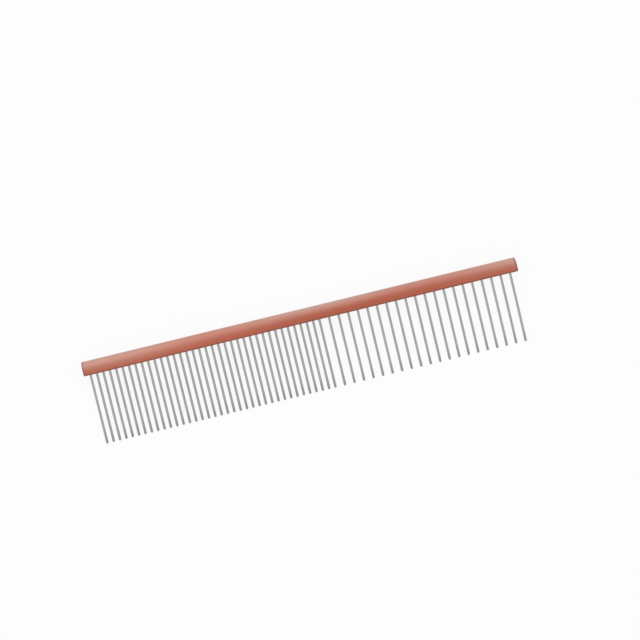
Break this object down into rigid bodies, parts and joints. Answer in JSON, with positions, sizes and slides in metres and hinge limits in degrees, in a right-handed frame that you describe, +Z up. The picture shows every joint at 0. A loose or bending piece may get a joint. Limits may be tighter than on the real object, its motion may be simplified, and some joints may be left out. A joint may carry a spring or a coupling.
{
  "type": "grooming comb",
  "caption": "Straight pet grooming comb: a slim bar spine with a rounded back holds a row of round steel pins with rounded tips, close together at one end and wider apart at the other.",
  "frame": {"origin": "on the surface the comb lies on, under the middle of the whole comb", "axes": "+X along the spine, from the fine end to the coarse end; the pins point towards -Y; +Z up from the surface. The comb lies as it does on a table, tipped 4.6 degrees about X, so that the spine's lower edge and the pin tips touch z = 0"},
  "size_m": [0.19, 0.0362, 0.0061],
  "materials": {
    "rose_anodised_aluminium": "satin, bead-blasted and anodised in rose copper",
    "stainless_steel_wire": "drawn and polished"
  },
  "bodies": {
    "root": {"spine": "rose_anodised_aluminium", "fine_pin_01": "stainless_steel_wire", "fine_pin_02": "stainless_steel_wire", "fine_pin_03": "stainless_steel_wire", "fine_pin_04": "stainless_steel_wire", "fine_pin_05": "stainless_steel_wire", "fine_pin_06": "stainless_steel_wire", "fine_pin_07": "stainless_steel_wire", "fine_pin_08": "stainless_steel_wire", "fine_pin_09": "stainless_steel_wire", "fine_pin_10": "stainless_steel_wire", "fine_pin_11": "stainless_steel_wire", "fine_pin_12": "stainless_steel_wire", "fine_pin_13": "stainless_steel_wire", "fine_pin_14": "stainless_steel_wire", "fine_pin_15": "stainless_steel_wire", "fine_pin_16": "stainless_steel_wire", "fine_pin_17": "stainless_steel_wire", "fine_pin_18": "stainless_steel_wire", "fine_pin_19": "stainless_steel_wire", "fine_pin_20": "stainless_steel_wire", "fine_pin_21": "stainless_steel_wire", "fine_pin_22": "stainless_steel_wire", "fine_pin_23": "stainless_steel_wire", "fine_pin_24": "stainless_steel_wire", "fine_pin_25": "stainless_steel_wire", "fine_pin_26": "stainless_steel_wire", "fine_pin_27": "stainless_steel_wire", "fine_pin_28": "stainless_steel_wire", "fine_pin_29": "stainless_steel_wire", "fine_pin_30": "stainless_steel_wire", "fine_pin_31": "stainless_steel_wire", "fine_pin_32": "stainless_steel_wire", "fine_pin_33": "stainless_steel_wire", "fine_pin_34": "stainless_steel_wire", "fine_pin_35": "stainless_steel_wire", "fine_pin_36": "stainless_steel_wire", "fine_pin_37": "stainless_steel_wire", "coarse_pin_01": "stainless_steel_wire", "coarse_pin_02": "stainless_steel_wire", "coarse_pin_03": "stainless_steel_wire", "coarse_pin_04": "stainless_steel_wire", "coarse_pin_05": "stainless_steel_wire", "coarse_pin_06": "stainless_steel_wire", "coarse_pin_07": "stainless_steel_wire", "coarse_pin_08": "stainless_steel_wire", "coarse_pin_09": "stainless_steel_wire", "coarse_pin_10": "stainless_steel_wire", "coarse_pin_11": "stainless_steel_wire", "coarse_pin_12": "stainless_steel_wire", "coarse_pin_13": "stainless_steel_wire", "coarse_pin_14": "stainless_steel_wire", "coarse_pin_15": "stainless_steel_wire", "coarse_pin_16": "stainless_steel_wire", "coarse_pin_17": "stainless_steel_wire", "coarse_pin_18": "stainless_steel_wire", "coarse_pin_19": "stainless_steel_wire", "coarse_pin_20": "stainless_steel_wire"}
  },
  "joints": []
}
